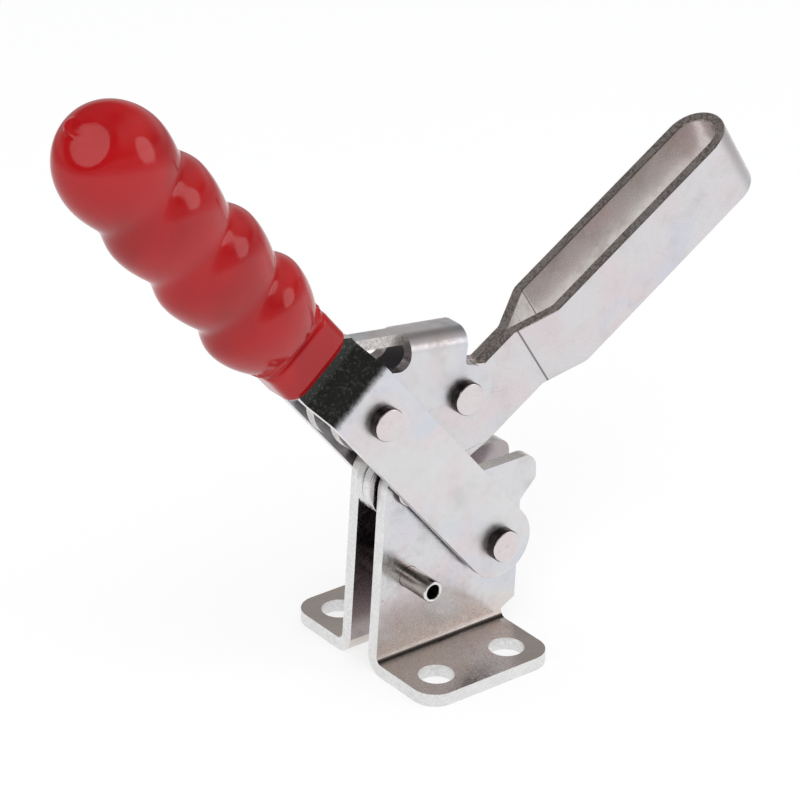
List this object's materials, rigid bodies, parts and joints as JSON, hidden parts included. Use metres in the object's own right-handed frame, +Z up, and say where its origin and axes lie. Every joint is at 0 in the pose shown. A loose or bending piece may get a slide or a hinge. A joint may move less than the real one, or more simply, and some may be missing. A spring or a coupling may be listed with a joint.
{
  "type": "toggle clamp",
  "caption": "Vertical-handle toggle clamp: flanged sheet-steel base, riveted over-centre linkage, open U-bar arm and red moulded grip.",
  "frame": {"origin": "centre of the rectangle of bolt holes, on the underside of the base flanges", "axes": "+X along the clamping arm, +Y across the clamp, +Z up from the mounting surface"},
  "size_m": [0.137, 0.0388, 0.1118],
  "materials": {
    "sheet_steel": "bright, lightly pitted rolled sheet",
    "rivets": "turned and pressed, faintly ringed",
    "pin": "dark rolled spring steel",
    "grip": "glossy dipped vinyl"
  },
  "bodies": {
    "base": {"base_plate_front": "sheet_steel", "base_plate_rear": "sheet_steel", "arm_pivot_rivet": "rivets", "handle_pivot_rivet": "rivets", "stop_pin": "pin", "stop_pin_spacer": "rivets", "handle_pivot_spacer": "rivets", "handle_pivot_washer_front": "rivets", "handle_pivot_washer_rear": "rivets"},
    "arm": {"clamp_arm": "sheet_steel"},
    "handle": {"handle_plate_front": "sheet_steel", "handle_plate_rear": "sheet_steel", "grip": "grip", "handle_link_rivet": "rivets", "handle_link_washer_front": "rivets", "handle_link_washer_rear": "rivets"},
    "link": {"link": "sheet_steel", "link_arm_rivet": "rivets"}
  },
  "joints": [
    {"name": "handle_swing", "type": "hinge", "parent": "base", "child": "handle", "pos_m": [0.01025, 0, 0.0187], "axis": [0, -1, 0], "range_deg": [-39.2, 9]},
    {"name": "arm_swing", "type": "hinge", "parent": "base", "child": "arm", "pos_m": [-0.00655, 0, 0.03287], "axis": [0, -1, 0], "range_deg": [-31.81, 7.31]},
    {"name": "link_swing", "type": "hinge", "parent": "handle", "child": "link", "pos_m": [-0.01415, 0, 0.04861], "axis": [0, -1, 0], "range_deg": [-44.7, 10.27]}
  ],
  "couplings": [
    {"joint": "arm_swing", "follows": "handle_swing", "ratio": 0.81132},
    {"joint": "link_swing", "follows": "handle_swing", "ratio": 1.14}
  ]
}
